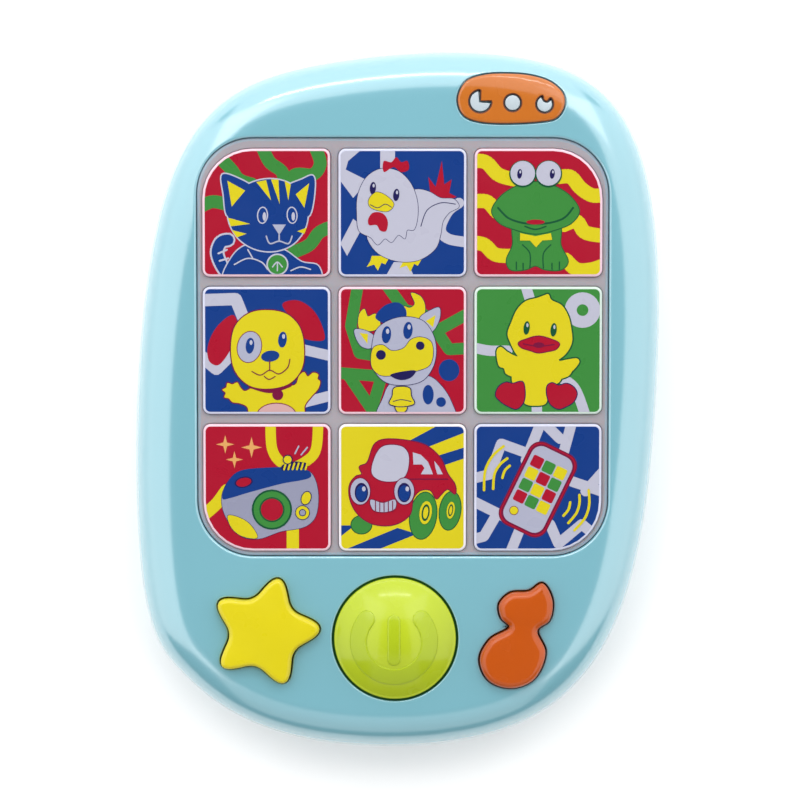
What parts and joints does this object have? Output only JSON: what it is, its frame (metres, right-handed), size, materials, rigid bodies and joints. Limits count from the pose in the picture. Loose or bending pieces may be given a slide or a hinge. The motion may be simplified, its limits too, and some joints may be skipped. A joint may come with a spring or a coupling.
{
  "type": "kids toy tablet",
  "caption": "Rounded light-blue toy tablet with a square of light-up picture keys above a star, a domed power button and a note button, battery door at the back.",
  "frame": {"origin": "middle of the case outline's bounding box, on the plane of the flat back", "axes": "+X to the toy's right seen from the front, +Y towards its top, +Z out of the screen"},
  "size_m": [0.1502, 0.1999, 0.0371],
  "materials": {
    "case_blue": "glossy light-blue moulded plastic",
    "lattice_frosted": "frosted translucent plastic",
    "trim_orange": "glossy orange moulded plastic",
    "key_clear": "clear glossy plastic",
    "picture_print": "printed translucent film in six flat colours",
    "star_yellow": "satin yellow moulded plastic",
    "dome_green": "clear glossy lime-green plastic",
    "note_orange": "glossy orange moulded plastic",
    "board_green": "green solder mask",
    "mat_rubber": "grey silicone rubber",
    "led_clear": "clear epoxy",
    "screw_steel": "zinc-plated steel",
    "cell_wrap": "printed battery wrap",
    "contact_nickel": "nickel-plated spring steel",
    "speaker_steel": "pressed steel",
    "speaker_paper": "black paper cone",
    "speaker_magnet": "black ferrite",
    "wire_red": "red PVC insulation",
    "wire_black": "black PVC insulation"
  },
  "bodies": {
    "case": {"front_shell": "case_blue", "rear_shell": "case_blue", "screen_lattice": "lattice_frosted", "top_trim": "trim_orange", "main_board": "board_green", "key_mat": "mat_rubber", "button_mat": "mat_rubber", "dome_led": "led_clear", "case_screw_top_left": "screw_steel", "case_screw_top_right": "screw_steel", "case_screw_middle_left": "screw_steel", "case_screw_middle_right": "screw_steel", "case_screw_bottom_left": "screw_steel", "case_screw_bottom_right": "screw_steel", "board_screw_upper_left": "screw_steel", "board_screw_lower_left": "screw_steel", "board_screw_upper_right": "screw_steel", "board_screw_lower_right": "screw_steel", "battery_left": "cell_wrap", "battery_middle": "cell_wrap", "battery_right": "cell_wrap", "contact_positive": "contact_nickel", "contact_bridge_top": "contact_nickel", "contact_bridge_bottom": "contact_nickel", "contact_negative": "contact_nickel", "speaker_basket": "speaker_steel", "speaker_cone": "speaker_paper", "speaker_magnet": "speaker_magnet", "wire_battery_positive": "wire_red", "wire_battery_negative": "wire_black", "wire_speaker_positive": "wire_red", "wire_speaker_negative": "wire_black"},
    "key_cat": {"key_cat": "key_clear", "picture_cat": "picture_print"},
    "key_hen": {"key_hen": "key_clear", "picture_hen": "picture_print"},
    "key_frog": {"key_frog": "key_clear", "picture_frog": "picture_print"},
    "key_dog": {"key_dog": "key_clear", "picture_dog": "picture_print"},
    "key_cow": {"key_cow": "key_clear", "picture_cow": "picture_print"},
    "key_duck": {"key_duck": "key_clear", "picture_duck": "picture_print"},
    "key_camera": {"key_camera": "key_clear", "picture_camera": "picture_print"},
    "key_car": {"key_car": "key_clear", "picture_car": "picture_print"},
    "key_phone": {"key_phone": "key_clear", "picture_phone": "picture_print"},
    "star_button": {"star_button": "star_yellow"},
    "power_dome": {"power_dome": "dome_green"},
    "note_button": {"note_button": "note_orange"},
    "battery_door": {"battery_door": "case_blue"},
    "battery_door_screw": {"battery_door_screw": "screw_steel"}
  },
  "joints": [
    {"name": "key_cat_press", "type": "slide", "parent": "case", "child": "key_cat", "axis": [0, 0, -1], "range_m": [0, 0.0012], "stiffness_N_per_m": 1500},
    {"name": "key_hen_press", "type": "slide", "parent": "case", "child": "key_hen", "axis": [0, 0, -1], "range_m": [0, 0.0012], "stiffness_N_per_m": 1500},
    {"name": "key_frog_press", "type": "slide", "parent": "case", "child": "key_frog", "axis": [0, 0, -1], "range_m": [0, 0.0012], "stiffness_N_per_m": 1500},
    {"name": "key_dog_press", "type": "slide", "parent": "case", "child": "key_dog", "axis": [0, 0, -1], "range_m": [0, 0.0012], "stiffness_N_per_m": 1500},
    {"name": "key_cow_press", "type": "slide", "parent": "case", "child": "key_cow", "axis": [0, 0, -1], "range_m": [0, 0.0012], "stiffness_N_per_m": 1500},
    {"name": "key_duck_press", "type": "slide", "parent": "case", "child": "key_duck", "axis": [0, 0, -1], "range_m": [0, 0.0012], "stiffness_N_per_m": 1500},
    {"name": "key_camera_press", "type": "slide", "parent": "case", "child": "key_camera", "axis": [0, 0, -1], "range_m": [0, 0.0012], "stiffness_N_per_m": 1500},
    {"name": "key_car_press", "type": "slide", "parent": "case", "child": "key_car", "axis": [0, 0, -1], "range_m": [0, 0.0012], "stiffness_N_per_m": 1500},
    {"name": "key_phone_press", "type": "slide", "parent": "case", "child": "key_phone", "axis": [0, 0, -1], "range_m": [0, 0.0012], "stiffness_N_per_m": 1500},
    {"name": "star_press", "type": "slide", "parent": "case", "child": "star_button", "axis": [0, 0, -1], "range_m": [0, 0.002], "stiffness_N_per_m": 900},
    {"name": "dome_press", "type": "slide", "parent": "case", "child": "power_dome", "axis": [0, 0, -1], "range_m": [0, 0.002], "stiffness_N_per_m": 900},
    {"name": "note_press", "type": "slide", "parent": "case", "child": "note_button", "axis": [0, 0, -1], "range_m": [0, 0.002], "stiffness_N_per_m": 900},
    {"name": "battery_door_tilt", "type": "hinge", "parent": "case", "child": "battery_door", "pos_m": [0, 0.03, 0], "axis": [1, 0, 0], "range_deg": [0, 60]},
    {"name": "battery_door_screw_turn", "type": "hinge", "parent": "battery_door", "child": "battery_door_screw", "pos_m": [0, -0.032, 0], "axis": [0, 0, 1], "continuous": true}
  ]
}
